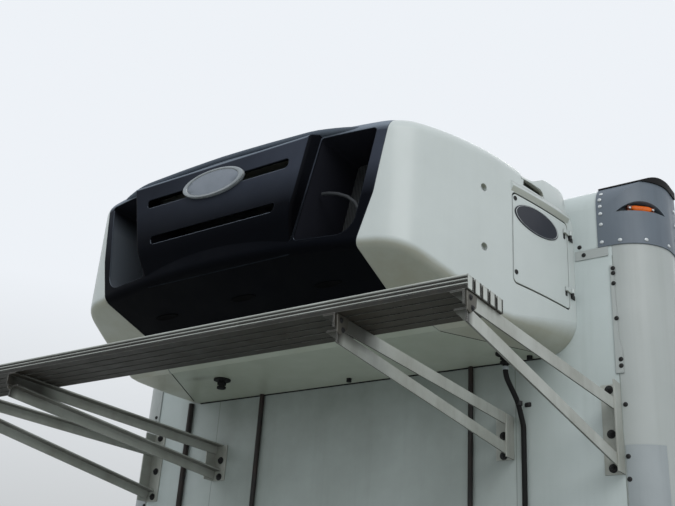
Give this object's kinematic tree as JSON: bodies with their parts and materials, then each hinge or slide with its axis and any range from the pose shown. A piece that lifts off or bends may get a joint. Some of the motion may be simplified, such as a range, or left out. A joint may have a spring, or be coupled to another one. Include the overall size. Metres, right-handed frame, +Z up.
{
  "type": "refrigerated truck body front wall with refrigeration unit",
  "caption": "Insulated front wall of a refrigerated truck body, with rounded corner posts, a nose-mounted cooling unit with hinged side doors and fans, and a bracketed service platform.",
  "frame": {"origin": "centre of the sill rail's underside, in the middle of its bolt pattern", "axes": "+X across the body to the road side, +Y rearward into the load space, +Z up"},
  "size_m": [2.456, 1.3876, 2.345],
  "materials": {
    "nose_plastic": "satin, moulded",
    "plate_silver": "satin",
    "unit_gelcoat": "satin gelcoat",
    "wall_gelcoat": "satin gelcoat, weathered",
    "post_paint": "satin paint",
    "cap_grey": "satin paint",
    "lamp_amber": "gloss",
    "mill_aluminium": "mill finish, weathered",
    "black_rubber": "matt",
    "black_steel": "matt paint",
    "frame_steel": "satin paint",
    "engine_iron": "painted",
    "coil_fins": "finned",
    "fan_plastic": "matt",
    "box_plastic": "satin"
  },
  "bodies": {
    "wall": {"nose_panel": "nose_plastic", "nose_plate": "plate_silver", "shell_right": "unit_gelcoat", "shell_left": "unit_gelcoat", "roof_panel": "unit_gelcoat", "belly_pan": "unit_gelcoat", "door_hinges": "black_steel", "mounting_frame": "frame_steel", "chassis_rails": "frame_steel", "engine_block": "engine_iron", "condenser_coil": "coil_fins", "intake_duct_right": "nose_plastic", "intake_duct_left": "nose_plastic", "fan_shroud_left": "fan_plastic", "fan_shroud_right": "fan_plastic", "fan_guard_left": "black_steel", "fan_guard_right": "black_steel", "drain_fittings": "black_rubber", "wall_panel": "wall_gelcoat", "sill_rail": "mill_aluminium", "top_rail": "wall_gelcoat", "corner_post_right": "post_paint", "corner_post_left": "post_paint", "corner_cap_right": "cap_grey", "corner_cap_left": "cap_grey", "marker_lamps": "lamp_amber", "roof_trims": "black_rubber", "wall_strips": "post_paint", "seam_straps": "post_paint", "cold_air_box": "box_plastic", "evaporator_coil": "coil_fins", "cold_fan_motor_left": "black_steel", "cold_fan_motor_right": "black_steel", "cold_fan_guards": "black_steel", "platform_arms": "mill_aluminium", "platform_struts": "mill_aluminium", "wall_angles": "mill_aluminium", "platform_nosing": "mill_aluminium", "platform_planks": "mill_aluminium", "drain_hose": "black_rubber", "drain_tubes": "black_rubber"},
    "door_right": {"door_right": "unit_gelcoat"},
    "door_left": {"door_left": "unit_gelcoat"},
    "fan_right": {"fan_rotor_right": "fan_plastic"},
    "fan_left": {"fan_rotor_left": "fan_plastic"},
    "cold_fan_right": {"cold_fan_right": "fan_plastic"},
    "cold_fan_left": {"cold_fan_left": "fan_plastic"}
  },
  "joints": [
    {"name": "door_right_hinge", "type": "hinge", "parent": "wall", "child": "door_right", "pos_m": [0.926, -0.086, 2.017], "axis": [0, 0, 1], "range_deg": [0, 100]},
    {"name": "door_left_hinge", "type": "hinge", "parent": "wall", "child": "door_left", "pos_m": [-0.926, -0.086, 2.017], "axis": [0, 0, -1], "range_deg": [0, 100]},
    {"name": "fan_right_spin", "type": "hinge", "parent": "wall", "child": "fan_right", "pos_m": [0.33, -0.43, 2.267], "axis": [0, 0, 1], "continuous": true},
    {"name": "fan_left_spin", "type": "hinge", "parent": "wall", "child": "fan_left", "pos_m": [-0.33, -0.43, 2.267], "axis": [0, 0, 1], "continuous": true},
    {"name": "cold_fan_right_spin", "type": "hinge", "parent": "wall", "child": "cold_fan_right", "pos_m": [0.28, 0.23, 1.885], "axis": [0, 1, 0], "continuous": true},
    {"name": "cold_fan_left_spin", "type": "hinge", "parent": "wall", "child": "cold_fan_left", "pos_m": [-0.28, 0.23, 1.885], "axis": [0, 1, 0], "continuous": true}
  ]
}
